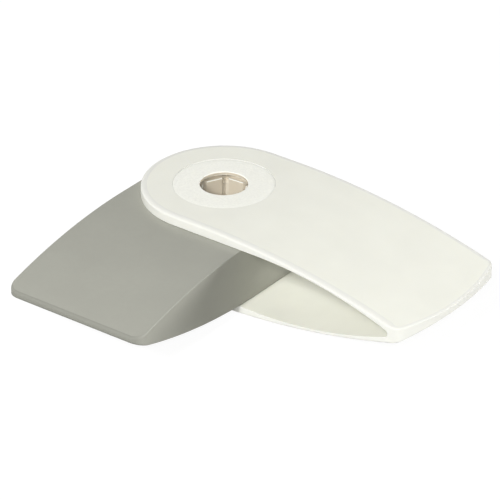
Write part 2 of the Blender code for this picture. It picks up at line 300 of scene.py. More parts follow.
class Studio(PropertyGroup):
    """Floor, lamps and camera."""

    floor_size: length("Floor size", "Side of the square floor", 6.0)
    floor_drop: length("Floor drop", "Air under the sleeve, so that the faces don't fight", 0.00002)
    floor: colour("Floor", "Pale floor as the object sees it", (0.60, 0.60, 0.585))
    floor_shade: share("Floor shade", "Share of the floor's look that takes the shadow", 0.12)
    ambient: share("Ambient", "Strength of the even light from all round", 0.01)
    key: power("Key lamp", "Soft lamp in front", 5.6)
    key_size: lamp_size("Key lamp's size", 0.2, 0.2)
    front: power("Front lamp", "Weaker lamp beside the camera, which reaches into the eye", 3.9)
    front_size: lamp_size("Front lamp's size", 0.15, 0.15)
    side: power("Side lamp", "Soft lamp low on the right, behind the nose", 4.9)
    side_size: lamp_size("Side lamp's size", 0.4, 0.1)
    fill: power("Fill lamp", "Soft lamp on the left", 2.6)
    fill_size: lamp_size("Fill lamp's size", 0.7, 0.7)
    back: power("Back lamp", "Weak soft lamp behind, which lights the far edges", 1.65)
    back_size: lamp_size("Back lamp's size", 0.4, 0.4)
    lamp_distance: length("Lamp distance", "Pivot to each lamp", 0.9)
    azimuth: angle("Azimuth", "Camera's turn from the sleeve's near side towards the nose", 37.1521)
    elevation: angle("Elevation", "Camera's height above the horizon", 29.5844)
    distance: length("Distance", "Camera to the aim", 0.600907)
    aim_right: length("Aim right", "From the pivot's top to the aim, to the right in the picture", 0.0039104)
    aim_down: length("Aim down", "From the pivot's top to the aim, down the picture", 0.0100186)
    lens: FloatProperty(
        name="Lens", description="Focal length on a 36 mm sensor", default=288.374, min=1.0, unit="CAMERA"
    )


class SwivelEraserSettings(PropertyGroup):
    """All that a user may change."""

    block: PointerProperty(type=BlockSizes)
    sleeve: PointerProperty(type=SleeveSizes)
    cap: PointerProperty(type=CapSizes)
    gap: PointerProperty(type=Clearances)
    finish: PointerProperty(type=Finishes)
    studio: PointerProperty(type=Studio)


class Lens(NamedTuple):
    """A face that stays `top` high as far as `level`, then falls along a circular arc.

    The arc leaves the level part at a tangent and is `end` high at `reach`.
    """

    level: float
    top: float
    reach: float
    end: float

    def radius(self):
        """Run squared plus drop squared, over twice the drop."""
        run = self.reach - self.level
        drop = self.top - self.end
        return (run * run + drop * drop) / (2 * drop)

    def height(self, x):
        """Top less radius plus the root of radius squared less the run past the level part squared."""
        past = np.maximum(x - self.level, 0.0)
        return self.top - self.radius() + np.sqrt(self.radius() ** 2 - past ** 2)

    def slope(self, x):
        """Fall per length along x: the run past the level part over the arc's height there."""
        past = np.maximum(x - self.level, 0.0)
        return past / np.sqrt(self.radius() ** 2 - past ** 2)


class Cavity:
    """Upper half of the cavity's section, by arc length from the middle of its blind edge.

    Round the blind edge on a small circle, up a long arc that meets that circle and the level
    ceiling at tangents, and back along the ceiling. The two circles touch from inside, so their
    centres lie one radius less the other apart, which gives the long arc's radius.
    """

    def __init__(self, half_height, level, reach, blind_radius):
        self.half_height = half_height
        self.level = level
        self.blind_radius = blind_radius
        self.blind_x = reach - blind_radius
        run = self.blind_x - level
        self.radius = (run ** 2 + half_height ** 2 - blind_radius ** 2) / (2 * (half_height - blind_radius))
        self.tilt = math.asin(run / (self.radius - blind_radius))
        self.blind_length = blind_radius * (QUARTER - self.tilt)
        self.curved_length = self.blind_length + self.radius * self.tilt
        self.unrolled_reach = level + self.curved_length

    def at(self, along):
        """Points (x, z) and outward normals (x, z) at lengths along the section."""
        round_blind = along / self.blind_radius
        tilt = self.tilt - np.clip((along - self.blind_length) / self.radius, 0.0, self.tilt)
        back = np.maximum(along - self.curved_length, 0.0)
        on_blind = along < self.blind_length
        normal_x = np.where(on_blind, np.cos(round_blind), np.sin(tilt))
        normal_z = np.where(on_blind, np.sin(round_blind), np.cos(tilt))
        x = np.where(
            on_blind, self.blind_x + self.blind_radius * normal_x, self.level + self.radius * normal_x - back
        )
        z = np.where(
            on_blind, self.blind_radius * normal_z, self.half_height + self.radius * (normal_z - 1.0)
        )
        return x, z, normal_x, normal_z


class Plan(NamedTuple):
    """Columns of half a plan, from the front's middle to the rear's: places and outward normals."""

    x: np.ndarray
    y: np.ndarray
    normal_x: np.ndarray
    normal_y: np.ndarray

    def inset(self, depth):
        """The columns moved inwards, as (..., 2) places."""
        return np.stack((self.x - depth * self.normal_x, self.y - depth * self.normal_y), axis=-1)


def join_plans(*runs):
    """Runs of columns joined into one plan."""
    return Plan(*(np.concatenate(part) for part in zip(*runs)))


def plan_arc(centre, radius, start, stop, steps, last=False):
    """A circular run of columns: centre plus radius times the normal at evenly spaced angles."""
    turn = np.linspace(start, stop, steps + last, endpoint=last)
    normal_x, normal_y = np.cos(turn), np.sin(turn)
    return Plan(centre[0] + radius * normal_x, centre[1] + radius * normal_y, normal_x, normal_y)


def plan_line(x, y, normal):
    """A straight run of columns with one normal."""
    flat = np.zeros_like(x + y)
    return Plan(x + flat, y + flat, normal[0] + flat, normal[1] + flat)


def eased(steps):
    """Shares from 0 to 1 that start and end slowly: 3 t squared less 2 t cubed."""
    t = np.linspace(0.0, 1.0, steps + 1)
    return t * t * (3.0 - 2.0 * t)


def even(steps):
    """Shares from 0 to 1 in equal steps."""
    return np.linspace(0.0, 1.0, steps + 1)


def pivot_angles(ring):
    """Angles on a circle about the pivot, one for each place of a ring round it.

    Each is the ring place's own angle, moved by EVENING of the way to equal steps, so that crowded
    columns spread out on the circle.
    """
    own = np.arctan2(ring[:, 1], ring[:, 0])
    equal = np.linspace(0.0, math.pi, len(ring))
    return own + (equal - own) * EVENING


def circle_rows(turn, radius, height):
    """Rows about the pivot: radius and height of each row, at each column's angle."""
    radius = np.asarray(radius, float)
    height = np.asarray(height, float)
    rows = np.broadcast_arrays(
        radius * np.cos(turn), radius * np.sin(turn), height + np.zeros_like(turn)
    )
    return np.stack(rows, axis=-1)


def lens_rows(lens, circle, ring, shares):
    """Straight lines in plan from a circle to a ring, lifted onto a lens face."""
    plan = circle + (ring - circle) * shares[:, None, None]
    return np.concatenate((plan, lens.height(plan[..., :1])), axis=-1)


def edge_start(plan, lens, width, height):
    """Turn at which a lens face passes into its edge, and how far inside the plan that is.

    The edge is a quarter of an ellipse: a place at turn a lies width * (1 - sin a) inside the plan,
    where it falls outwards by height / width * tan a. The face falls by its slope times the normal's
    x, so it meets the ellipse at a tangent where tan a is that fall times width / height.
    """
    fall = lens.slope(plan.x - width * plan.normal_x) * plan.normal_x
    turn = np.arctan(fall * width / height)
    return turn, width * (1.0 - np.sin(turn))


def edge_rows(plan, lens, width, height, steps):
    """The edge from a lens face into the upright side, with the turn going on to a quarter.

    A place at turn a lies height * cos a over the ellipse's centre.
    """
    start, inset = edge_start(plan, lens, width, height)
    centre = lens.height(plan.x - inset * plan.normal_x) - height * np.cos(start)
    turn = start + (QUARTER - start) * even(steps)[:, None]
    places = plan.inset(width * (1.0 - np.sin(turn)))
    return np.concatenate((places, (centre + height * np.cos(turn))[..., None]), axis=-1)


def side_rows(top, foot, steps):
    """Upright rows from a row of points down to a row of heights."""
    heights = top[:, 2] + (foot - top[:, 2]) * even(steps)[:, None]
    places = np.broadcast_to(top[:, :2], (*heights.shape, 2))
    return np.concatenate((places, heights[..., None]), axis=-1)


def stack_bands(*bands):
    """Bands of rows joined into one grid. Each band starts on the last row of the band before it.

    A band is (rows, mark), with one mark for the whole band or one for each column.
    """
    grid = np.concatenate([rows[min(i, 1):] for i, (rows, _) in enumerate(bands)])
    marks = [np.broadcast_to(mark, rows.shape[:2]) for rows, mark in bands]
    return grid, np.concatenate([mark[min(i, 1):] for i, mark in enumerate(marks)])


def reflect_across(grid, mark):
    """A grid of half a plan joined to its reflection in the long axis, where its last column lies."""
    other = grid[:, -2::-1] * (1.0, -1.0, 1.0)
    return np.concatenate((grid, other), axis=1), np.concatenate((mark, mark[:, -2::-1]), axis=1)


def reflect_down(grid, mark):
    """A grid of an upper half, and its reflection in the middle plane."""
    return (grid, mark), (grid * (1.0, 1.0, -1.0), mark)


def bore_flat(cap):
    """Pivot axis to the flats of the stem's bore."""
    return cap.eye_radius + cap.land


def stem_radius(cap):
    """The stem's radius: its wall stands outside the corners of the groove's flats."""
    return (bore_flat(cap) + cap.groove) / math.cos(math.pi / cap.fingers) + cap.stem_wall


def sleeve_surface(size, block, cap, gap):
    """Grids of the folded sleeve.

    The outer skin runs up the stem hole, over the flange seat and its rounded mouth, along straight
    lines to an even border inside the plan, square to the plan over that border, round the edge and
    down the side. Its columns along an open side stand over the cavity's section, so that the side's
    foot follows the cavity. The ceiling unrolls the cavity's section flat, runs straight from the
    stem hole to the plan there and is rolled up again.
    """
    outer = Lens(size.level, size.half_height, size.reach, size.nose / 2)
    sweep = block.corner + math.hypot(block.reach - block.corner, block.half_width - block.corner)
    cavity = Cavity(
        block.half_height + gap.swing,
        math.hypot(block.level, block.half_width),
        sweep + gap.tip,
        size.blind_radius,
    )
    hole = stem_radius(cap) + gap.stem
    seat = cap.flange_radius + gap.rim
    floor = size.half_height - cap.flange - gap.seat

    # Columns: nose and its corner are closed, side and round end are open.
    corner_y = size.half_width - size.corner
    corner_x = math.sqrt((size.reach - size.corner) ** 2 - corner_y ** 2)
    nose_turn = math.atan2(corner_y, corner_x)
    nose = plan_arc((0.0, 0.0), size.reach, 0.0, nose_turn, NOSE_COLUMNS)
    corner = plan_arc((corner_x, corner_y), size.corner, nose_turn, QUARTER, CORNER_COLUMNS, last=True)
    arc_length = cavity.curved_length - cavity.blind_length
    along = np.concatenate((
        cavity.blind_length * even(BLIND_COLUMNS)[:-1],
        cavity.blind_length + arc_length * even(LONG_COLUMNS)[:-1] ** CROWDING,
        cavity.curved_length + cavity.level * even(LEVEL_COLUMNS)[:-1],
    ))
    section_x, section_z, lift_x, lift_z = cavity.at(along)
    side = plan_line(section_x + size.cavity_edge * lift_x, size.half_width, (0.0, 1.0))
    end = plan_arc((0.0, 0.0), size.half_width, QUARTER, math.pi, END_COLUMNS, last=True)
    plan = join_plans(nose, corner, side, end)
    closed = len(nose.x) + len(corner.x)

    # Outer skin
    _, inset = edge_start(plan, outer, size.roll_width, size.roll_drop)
    ring = plan.inset(inset)
    border = plan.inset(BORDER * size.roll_width)
    turn = pivot_angles(border)
    mouth = seat + size.seat_edge
    mouth_circle = circle_rows(turn, mouth, 0.0)[:, :2]
    mouth_height = outer.height(mouth_circle[:, 0])
    bend = QUARTER * even(ROUND_ROWS)[:, None]
    seat_mouth = circle_rows(
        turn,
        mouth - size.seat_edge * np.cos(bend),
        mouth_height - size.seat_edge * (1.0 - np.sin(bend)),
    )
    foot = np.concatenate((
        np.zeros(closed),
        section_z + size.cavity_edge * lift_z,
        np.full(len(end.x), cavity.half_height + size.cavity_edge),
    ))
    short = even(SHORT_ROWS)[:, None]
    outwards = even(WALL_ROWS)[:, None]
    edge = edge_rows(plan, outer, size.roll_width, size.roll_drop, ROLL_ROWS)
    # Bands marked 1 take the rims' colour, which is painted darker as shade
    skin = stack_bands(
        (circle_rows(turn, hole, cavity.half_height + (floor - cavity.half_height) * short), 0.0),
        (circle_rows(turn, hole + (seat - hole) * outwards, floor), 0.0),
        (circle_rows(turn, seat, floor + (seat_mouth[0, :, 2] - floor) * short), 1.0),
        (seat_mouth, 1.0),
        (lens_rows(outer, mouth_circle, border, eased(FACE_ROWS)), 0.0),
        (lens_rows(outer, border, ring, even(BORDER_ROWS)), 0.0),
        (edge, 1.0),
        (side_rows(edge[-1], foot, WALL_ROWS), 1.0),
    )

    # Ceiling, in the unrolled plane and then rolled up
    brim = size.half_width - size.cavity_edge
    blind_y = brim * np.arange(closed) / closed
    rear = plan_arc((0.0, 0.0), brim, QUARTER, math.pi, END_COLUMNS, last=True)
    flat_ring = np.concatenate((
        np.stack((np.full(closed, cavity.unrolled_reach), blind_y), axis=-1),
        np.stack((cavity.unrolled_reach - along, np.full(len(along), brim)), axis=-1),
        np.stack((rear.x, rear.y), axis=-1),
    ))
    hole_circle = circle_rows(turn, hole, 0.0)[:, :2]
    flat = hole_circle + (flat_ring - hole_circle) * eased(CEILING_ROWS)[:, None, None]
    roll_x, roll_z, roll_nx, roll_nz = cavity.at(cavity.unrolled_reach - flat[..., 0])
    ceiling = np.stack((roll_x, flat[..., 1], roll_z), axis=-1)

    # Rounding of the cavity's edge, from the ceiling's rim out to the side
    rise = size.cavity_edge * (1.0 - np.cos(bend))
    reach = size.cavity_edge * np.sin(bend)
    brim_round = np.stack((
        roll_x[-1, closed:] + rise * roll_nx[-1, closed:] + reach * plan.normal_x[closed:],
        flat[-1, closed:, 1] + reach * plan.normal_y[closed:],
        roll_z[-1, closed:] + rise * roll_nz[-1, closed:],
    ), axis=-1)

    # The cavity's rounded brim takes the rims' painted shade too
    halves = (skin, stack_bands((ceiling, 0.0)), stack_bands((brim_round, 1.0)))
    return [grid for half in halves for grid in reflect_down(*reflect_across(*half))]


def block_surface(size, cap, gap):
    """Grids of the rubber block, along x.

    The skin runs up the bore, round its edge, along straight lines to the plan, round the edge and
    down the side to the middle plane.
    """
    face = Lens(size.level, size.half_height, size.reach, size.tip / 2)
    bore = stem_radius(cap) + gap.stem
    corner_x = size.reach - size.corner
    corner_y = size.half_width - size.corner
    plan = join_plans(
        plan_line(size.reach, corner_y * even(TIP_COLUMNS)[:-1], (1.0, 0.0)),
        plan_arc((corner_x, corner_y), size.corner, 0.0, QUARTER, CORNER_COLUMNS),
        plan_line(corner_x * (1.0 - even(LONG_COLUMNS)[:-1]), size.half_width, (0.0, 1.0)),
        plan_arc((0.0, 0.0), size.half_width, QUARTER, math.pi, END_COLUMNS, last=True),
    )
    on_tip = np.maximum(plan.normal_x, 0.0)
    edge_radius = size.edge + (size.tip_edge - size.edge) * on_tip
    _, inset = edge_start(plan, face, edge_radius, edge_radius)
    ring = plan.inset(inset)
    turn = pivot_angles(ring)
    bend = QUARTER * even(ROUND_ROWS)[:, None]
    mouth = bore + size.bore_edge
    mouth_circle = circle_rows(turn, mouth, 0.0)[:, :2]
    bore_top = size.half_height - size.bore_edge
    bore_mouth = circle_rows(
        turn,
        mouth - size.bore_edge * np.cos(bend),
        bore_top + size.bore_edge * np.sin(bend),
    )
    edge = edge_rows(plan, face, edge_radius, edge_radius, ROUND_ROWS)
    skin = stack_bands(
        (circle_rows(turn, bore, bore_top * even(WALL_ROWS)[:, None]), 0.0),
        (bore_mouth, 0.0),
        (lens_rows(face, mouth_circle, ring, eased(FACE_ROWS)), 0.0),
        # The tip's edge and face carry the mark, which gives them painted shade
        (edge, on_tip),
        (side_rows(edge[-1], np.zeros(len(ring)), WALL_ROWS), on_tip),
    )
    return list(reflect_down(*reflect_across(*skin)))


def swung_out(grid):
    """A grid along x turned a quarter clockwise about the pivot: x becomes y and y becomes minus x."""
    return np.stack((grid[..., 1], -grid[..., 0], grid[..., 2]), axis=-1)


def profile_arc(centre, radius, start, stop):
    """Profile points on a circular arc between two angles in quarters of a turn."""
    turn = QUARTER * (start + (stop - start) * even(ROUND_ROWS))
    return np.stack((centre[0] + radius * np.cos(turn), centre[1] + radius * np.sin(turn)), axis=-1)


def profile_line(start, stop, shares):
    """Profile points on a straight line at the given shares of its length."""
    start, stop = np.array(start), np.array(stop)
    return start + (stop - start) * shares[:, None]


def flange_profile(cap, bore, outer_face):
    """A flange from the top of its bore, over its outer face and rim to its inner face.

    The face is flat as far as its roll-off, which falls by roll_drop times the square of the share
    of the way to the rim.
    """
    inner_face = outer_face - cap.flange
    rim = cap.flange_radius - cap.flange_edge
    rim_top = outer_face - cap.roll_drop
    roll = rim - cap.roll_width
    out = even(ROLL_ROWS)
    rolled = np.stack((roll + cap.roll_width * out, outer_face - cap.roll_drop * out ** 2), axis=-1)
    side_top = (cap.flange_radius, rim_top - cap.flange_edge)
    return np.concatenate((
        profile_arc((bore + cap.eye_edge, outer_face - cap.eye_edge), cap.eye_edge, 2, 1),
        profile_line((bore + cap.eye_edge, outer_face), (roll, outer_face), eased(FLANGE_ROWS))[1:-1],
        rolled,
        profile_arc((rim, rim_top - cap.flange_edge), cap.flange_edge, 1, 0)[1:],
        profile_line(side_top, (cap.flange_radius, inner_face), even(SHORT_ROWS))[1:],
    ))


def ring_rows(profile, flat, turn, from_middle):
    """A profile carried round the pivot. Where it is flat, its radius is that of the flats.

    A flat's places lie at radius over cosine of the angle from the flat's middle.
    """
    stretch = np.where(flat[:, None], 1.0 / np.cos(from_middle), 1.0)
    return circle_rows(turn, profile[:, :1] * stretch, profile[:, 1:])


def marked(*runs):
    """Profile runs joined into one, with what is flat-sided and the mark for each point.

    A run is (points, flat, mark).
    """
    profile = np.concatenate([points for points, _, _ in runs])
    flat = np.concatenate([np.full(len(points), flat) for points, flat, _ in runs])
    return profile, flat, np.concatenate([np.full(len(points), mark) for points, _, mark in runs])


def upper_cap_surface(cap, gap):
    """The upper cap: a round flange, lip and stem, and a flat-sided bore with the snap groove."""
    top = UPPER_CAP_HIGH[2]
    foot = UPPER_CAP_LOW[2]
    eye = cap.eye_radius
    stem = stem_radius(cap)
    bore = bore_flat(cap)
    groove = bore + cap.groove
    lip = top - cap.lip
    groove_foot = LOWER_CAP_HIGH[2] - cap.bead - gap.bead
    burr = cap.burr
    # Runs marked 1, and those at SLOT_MARK, lie inside the bore and take its painted shade
    profile, flat, mark = marked(
        (flange_profile(cap, eye, top), False, 0.0),
        (profile_line((stem, top - cap.flange), (stem, foot + burr), even(WALL_ROWS)), False, 0.0),
        (profile_arc((stem - burr, foot + burr), burr, 0, -1)[1:], False, 0.0),
        (profile_line((bore, foot), (bore, groove_foot - cap.groove), even(WALL_ROWS)), True, SLOT_MARK),
        (profile_line((groove, groove_foot), (groove, lip), even(SHORT_ROWS)), True, 1.0),
        (profile_arc((eye + burr, lip + burr), burr, 3, 2), False, 0.0),
        (profile_line((eye, lip + burr), (eye, top - cap.eye_edge), even(WALL_ROWS))[1:-1], False, 1.0),
        (np.array([(eye, top - cap.eye_edge)]), False, 0.0),
    )
    pitch = 2 * math.pi / cap.fingers
    across = np.tile(np.linspace(-0.5, 0.5, FINGER_COLUMNS, endpoint=False), cap.fingers)
    sector = np.repeat(np.arange(cap.fingers), FINGER_COLUMNS)
    turn = cap.slot_angle + (sector + 0.5 + across) * pitch
    turn = np.append(turn, turn[0] + 2 * math.pi)
    from_middle = np.append(across, across[0]) * pitch
    grid = ring_rows(profile, flat, turn, from_middle)
    return [(grid, np.broadcast_to(mark[:, None], grid.shape[:2]))]


def lower_cap_surface(cap, gap):
    """The lower cap: a round flange and a ring of flat fingers with parallel slots between them.

    A slot of width w at a corner leaves, on flats at radius a, fingers that reach to each side of
    their middle by the angle whose tangent is tan(half pitch) less w / 2 / a / cos(half pitch). On a
    round run of radius r that angle is half the pitch less asin(w / 2 / r). Finger columns share out
    that angle and slot columns the rest. Cells in a slot are left out, the fingers' sides join the
    profile's inner run to its outer run, and a floor closes each slot.
    """
    top = LOWER_CAP_HIGH[2]
    bottom = -UPPER_CAP_HIGH[2]
    outside = bore_flat(cap) - gap.finger
    inside = outside - cap.finger_wall
    bead = bore_flat(cap) + cap.groove - gap.finger
    eye = inside - cap.lower_step
    slot_foot = top - cap.slot_length
    shelf = bottom + cap.flange
    burr = cap.burr

    # The inner runs and the outer one have as many points, so that the fingers' sides join them
    inner = profile_line((inside, slot_foot), (inside, top - burr), even(WALL_ROWS))
    inner_burr = profile_arc((inside + burr, top - burr), burr, 2, 1)[1:]
    outer = np.concatenate((
        profile_arc((outside - burr, top - burr), burr, 1, 0),
        np.array([(bead, top - cap.bead / 2)]),
        profile_line((outside, top - cap.bead), (outside, slot_foot), even(WALL_ROWS - 2)),
    ))
    below = flange_profile(cap, eye, -bottom)[::-1] * (1.0, -1.0)
    # Runs marked 1 lie inside the bore and take its painted shade; the slots' walls and floors take it at
    # SLOT_MARK
    profile, flat, mark = marked(
        (inner, True, 1.0),
        (inner_burr, True, 0.0),
        (outer, True, 1.0),
        (profile_line((outside, slot_foot), (outside, shelf), even(SHORT_ROWS))[1:], True, 0.0),
        (below, False, 0.0),
        (profile_line(below[-1], (eye, shelf), even(1))[1:], False, 1.0),
        (profile_line((inside, shelf), (inside, slot_foot), even(SHORT_ROWS)), True, 1.0),
    )
    fingered = len(inner) + len(inner_burr) + len(outer)

    # Columns: shares across each finger, then shares across the slot after it
    pitch = 2 * math.pi / cap.fingers
    finger = np.linspace(-1.0, 1.0, FINGER_COLUMNS + 1)
    slot = np.linspace(-1.0, 1.0, SLOT_COLUMNS + 1)[1:-1]
    columns = len(finger) + len(slot)
    finger_share = np.concatenate((finger, np.where(slot > 0.0, -1.0, 1.0)))
    slot_share = np.concatenate((np.zeros_like(finger), np.where(slot > 0.0, slot - 1.0, slot + 1.0)))
    middle = np.concatenate((np.zeros_like(finger), np.where(slot > 0.0, pitch, 0.0)))
    radius = profile[:, :1]
    on_flat = np.arctan(math.tan(pitch / 2) - cap.slot_width / 2 / radius / math.cos(pitch / 2))
    on_round = pitch / 2 - np.arcsin(cap.slot_width / 2 / radius)
    reach = np.where(flat[:, None], on_flat, on_round)
    from_middle = finger_share * reach + slot_share * (pitch / 2 - reach)
    sector = np.repeat(np.arange(cap.fingers) + 0.5, columns) * pitch
    turn = cap.slot_angle + sector + np.tile(middle + from_middle, cap.fingers)
    turn = np.concatenate((turn, turn[:, :1] + 2 * math.pi), axis=1)
    from_middle = np.tile(from_middle, cap.fingers)
    from_middle = np.concatenate((from_middle, from_middle[:, :1]), axis=1)
    grid = ring_rows(profile, flat, turn, from_middle)

    in_slot = np.arange(grid.shape[1] - 1) % columns >= FINGER_COLUMNS
    in_fingers = np.arange(len(profile) - 1) < fingered - 1
    solid = ~(in_fingers[:, None] & in_slot)
    grids = [(grid, np.broadcast_to(mark[:, None], grid.shape[:2]), solid)]
    half = fingered // 2
    last = fingered - 1
    for start in range(0, cap.fingers * columns, columns):
        for edge in (start, start + FINGER_COLUMNS):
            wall = np.stack((grid[:half, edge], grid[last:last - half:-1, edge]), axis=1)
            grids.append((wall, np.full(wall.shape[:2], SLOT_MARK)))
        between = slice(start + FINGER_COLUMNS, start + columns + 1)
        floor = np.stack((grid[0, between], grid[last, between]))
        grids.append((floor, np.full(floor.shape[:2], SLOT_MARK)))
    return grids


def grid_quads(shape, start):
    """Corner numbers of a grid's cells, as (rows, columns, 4)."""
    number = start + np.arange(shape[0] * shape[1]).reshape(shape)
    return np.stack((number[:-1, :-1], number[:-1, 1:], number[1:, 1:], number[1:, :-1]), axis=-1)


def new_piece(name, grids, material, body, node):
    """One object from grids that share their borders, in its place and riding on its body."""
    places = []
    marks = []
    quads = []
    start = 0
    for grid, mark, *solid in grids:
        cells = grid_quads(grid.shape[:2], start)
        quads.append(cells[solid[0]] if solid else cells.reshape(-1, 4))
        places.append(grid.reshape(-1, 3) + PIVOT)
        marks.append(mark.reshape(-1))
        start += grid.shape[0] * grid.shape[1]
    mesh = bpy.data.meshes.new(name)
    mesh.from_pydata(np.concatenate(places), [], np.concatenate(quads).tolist())
    mesh.attributes.new(MARK, "FLOAT", "POINT").data.foreach_set("value", np.concatenate(marks))
    body_mesh = bmesh.new()
    body_mesh.from_mesh(mesh)
    bmesh.ops.remove_doubles(body_mesh, verts=body_mesh.verts, dist=MERGE_DISTANCE)
    bmesh.ops.recalc_face_normals(body_mesh, faces=body_mesh.faces)
    open_edges = sum(not edge.is_manifold for edge in body_mesh.edges)
    body_mesh.to_mesh(mesh)
    body_mesh.free()
    if open_edges:
        raise RuntimeError(f"{name} isn't closed: {open_edges} open edges")
    mesh.shade_smooth()
    mesh.set_sharp_from_angle(angle=SHARP_ANGLE)
    mesh.materials.append(material)
    piece = bpy.data.objects.new(name, mesh)
    bpy.context.scene.collection.objects.link(piece)
    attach(piece, body)
    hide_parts(node)
    return piece


class Shading:
    """The node tree of a new material or world, with short calls for the nodes used here."""

    def __init__(self, owner):
        owner.use_nodes = True
        self.owner = owner
        self.tree = owner.node_tree

    def put(self, socket, value):
        """A value or a link put into a socket."""
        if isinstance(value, bpy.types.NodeSocket):
            self.tree.links.new(value, socket)
        else:
            socket.default_value = value

    def fill(self, node, **inputs):
        """Values or links put into a node's named inputs."""
        for name, value in inputs.items():
            self.put(node.inputs[name.replace("_", " ")], value)
        return node

    def node(self, kind, **inputs):
        """A new node with its named inputs filled."""
        return self.fill(self.tree.nodes.new(kind), **inputs)

    def surface(self, **inputs):
        """The material's own shader with its named inputs filled."""
        self.fill(self.tree.nodes["Principled BSDF"], Specular_IOR_Level=SPECULAR_LEVEL, **inputs)

    def noise(self, size, detail=3.0, roughness=0.5):
        """Noise from 0 to 1 with features of about the given size."""
        place = self.node("ShaderNodeTexCoord").outputs["Object"]
        made = self.node(
            "ShaderNodeTexNoise", Vector=place, Scale=1.0 / size, Detail=detail, Roughness=roughness
        )
        return made.outputs["Fac"]

    def spread(self, value, low, high, span=NOISE_SPAN):
        """A value mapped from its usual span to low and high."""
        made = self.node(
            "ShaderNodeMapRange", Value=value, From_Min=span[0], From_Max=span[1], To_Min=low, To_Max=high
        )
        return made.outputs["Result"]

    def around(self, value, middle, reach):
        """A noise mapped to both sides of a middle value."""
        return self.spread(value, middle - reach, middle + reach)

    def by_mark(self, pair):
        """The first value where the mark is 0, and the second where it is 1."""
        return self.spread(self.mark(), *pair, WHOLE_SPAN)

    def mix(self, kind, factor, first, second):
        """Two colours or two values mixed by a factor."""
        made = self.tree.nodes.new("ShaderNodeMix")
        made.data_type = "RGBA" if kind == "RGBA" else "FLOAT"
        ends = [socket for socket in made.inputs if socket.type == kind and socket.name in ("A", "B")]
        self.put(made.inputs["Factor"], factor)
        self.put(ends[0], first)
        self.put(ends[1], second)
        return next(socket for socket in made.outputs if socket.type == kind)

    def mix_colours(self, factor, first, second):
        return self.mix("RGBA", factor, first, second)

    def mix_values(self, factor, first, second):
        return self.mix("VALUE", factor, first, second)

    def vary(self, noise, base, tints):
        """A colour that runs between two tints of itself."""
        low, high = tints
        return self.mix_colours(self.spread(noise, 0.0, 1.0), tinted(base, low), tinted(base, high))

    def calculate(self, operation, first, second):
        """Two values joined by a sum, a product or the like."""
        made = self.tree.nodes.new("ShaderNodeMath")
        made.operation = operation
        self.put(made.inputs[0], first)
        self.put(made.inputs[1], second)
        return made.outputs[0]

    def mark(self):
        """The mark that the grids carry."""
        made = self.tree.nodes.new("ShaderNodeAttribute")
        made.attribute_name = MARK
        return made.outputs["Fac"]

    def bump(self, height, depth, strength):
        """A normal tilted by a height from 0 to 1 that stands for the given depth."""
        made = self.node("ShaderNodeBump", Height=height, Distance=depth, Strength=strength)
        return made.outputs["Normal"]

    def seen_directly(self):
        """1 on rays from the camera, and on mirrored or refracted ones, and 0 on light that spreads."""
        rays = self.tree.nodes.new("ShaderNodeLightPath").outputs
        mirrored = self.calculate("MAXIMUM", rays["Is Glossy Ray"], rays["Is Transmission Ray"])
        return self.calculate("MAXIMUM", rays["Is Camera Ray"], mirrored)


def tinted(base, factor):
    """A colour made lighter or darker by one factor."""
    return (*(min(1.0, c * factor) for c in base[:3]), 1.0)


def plastic(s, **inputs):
    """A plastic's surface: refraction and a little light under the skin, and the given inputs."""
    s.surface(
        IOR=PLASTIC_IOR,
        Subsurface_Weight=SUBSURFACE,
        Subsurface_Radius=SUBSURFACE_RADIUS,
        Subsurface_Scale=SUBSURFACE_SCALE,
        **inputs,
    )
    return s.owner


def sleeve_plastic(finish):
    """Warm white plastic: finely grained plates with faint flow clouds, and smooth glossier rims painted
    darker as shade.
    """
    s = Shading(bpy.data.materials.new("sleeve_plastic"))
    clouds = s.noise(SLEEVE_CLOUDS)
    grain = s.noise(SLEEVE_GRAIN, roughness=0.6)
    plate = s.vary(clouds, finish.sleeve, SLEEVE_TINTS)
    plate_roughness = s.around(grain, finish.sleeve_roughness, SLEEVE_ROUGHNESS_REACH)
    return plastic(
        s,
        # Painted shade: the marked rims take the darker rim colour
        Base_Color=s.mix_colours(s.mark(), plate, list(finish.shaded_sleeve_rim)),
        Roughness=s.mix_values(s.mark(), plate_roughness, finish.rim_roughness),
        Normal=s.bump(grain, SLEEVE_BUMP, s.by_mark(SLEEVE_BUMP_STRENGTH)),
    )


def cap_plastic(finish):
    """Warm white plastic with a coarser grain than the sleeve's, and a smooth bore in a darker beige of
    painted shade.
    """
    s = Shading(bpy.data.materials.new("cap_plastic"))
    clouds = s.spread(s.noise(CAP_CLOUDS), 0.0, CAP_CLOUD_SHARE)
    grain = s.noise(CAP_GRAIN, roughness=0.65)
    speckle = s.vary(grain, finish.cap, CAP_TINTS)
    face = s.mix_colours(clouds, speckle, tinted(finish.cap, CAP_CLOUD_TINT))
    return plastic(
        s,
        # Painted shade: where marked, inside the bore, the caps take the darker beige
        Base_Color=s.mix_colours(s.mark(), face, list(finish.bore)),
        Roughness=s.around(grain, finish.cap_roughness, CAP_ROUGHNESS_REACH),
        Normal=s.bump(grain, CAP_BUMP, s.by_mark(CAP_BUMP_STRENGTH)),
    )


